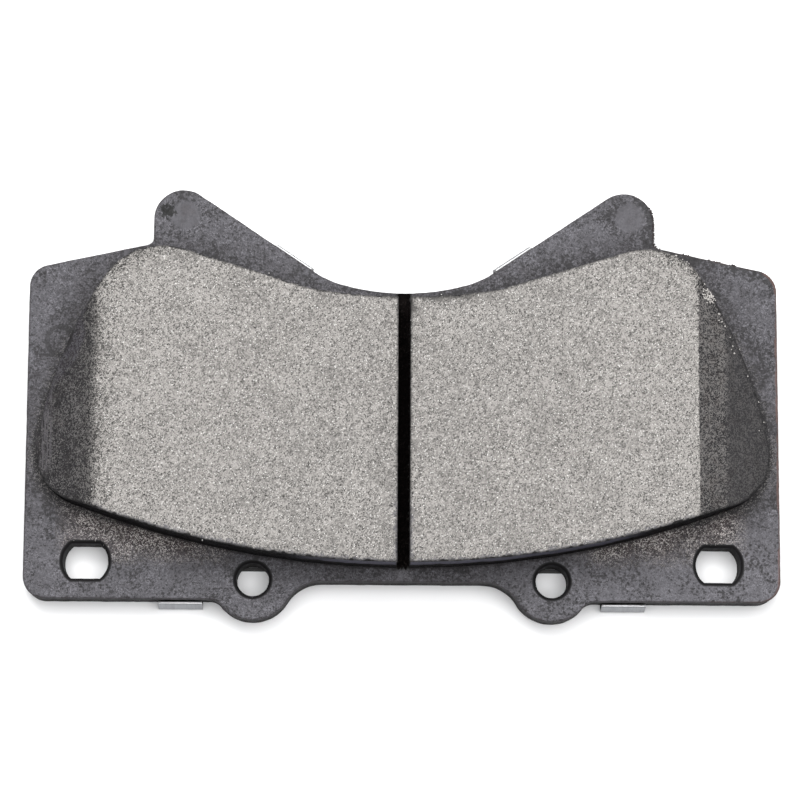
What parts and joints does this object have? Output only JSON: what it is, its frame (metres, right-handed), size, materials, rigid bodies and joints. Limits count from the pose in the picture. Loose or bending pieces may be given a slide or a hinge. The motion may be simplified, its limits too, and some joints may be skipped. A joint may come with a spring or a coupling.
{
  "type": "disc brake pad",
  "caption": "Front disc brake pad for a fixed caliper: eared steel backing plate, split friction block with end chamfers, clip-on noise shims.",
  "frame": {"origin": "middle of the pad in length and height, on the rear face of the outer shim", "axes": "+X along the pad, +Y towards the hub (the concave side with the ears), +Z out of the friction face"},
  "size_m": [0.152, 0.088, 0.018],
  "materials": {
    "coated_steel": "matte",
    "cured_adhesive": "matte",
    "underlayer": "matte",
    "friction_mix": "matte",
    "shim_steel": "satin",
    "damping_rubber": "matte",
    "stainless": "satin"
  },
  "bodies": {
    "root": {"backing_plate": "coated_steel", "bond_film_left": "cured_adhesive", "bond_film_right": "cured_adhesive", "underlayer_left": "underlayer", "underlayer_right": "underlayer", "friction_left": "friction_mix", "friction_right": "friction_mix", "inner_shim_core": "shim_steel", "inner_shim_front_rubber": "damping_rubber", "inner_shim_rear_rubber": "damping_rubber", "outer_shim": "stainless"}
  },
  "joints": []
}
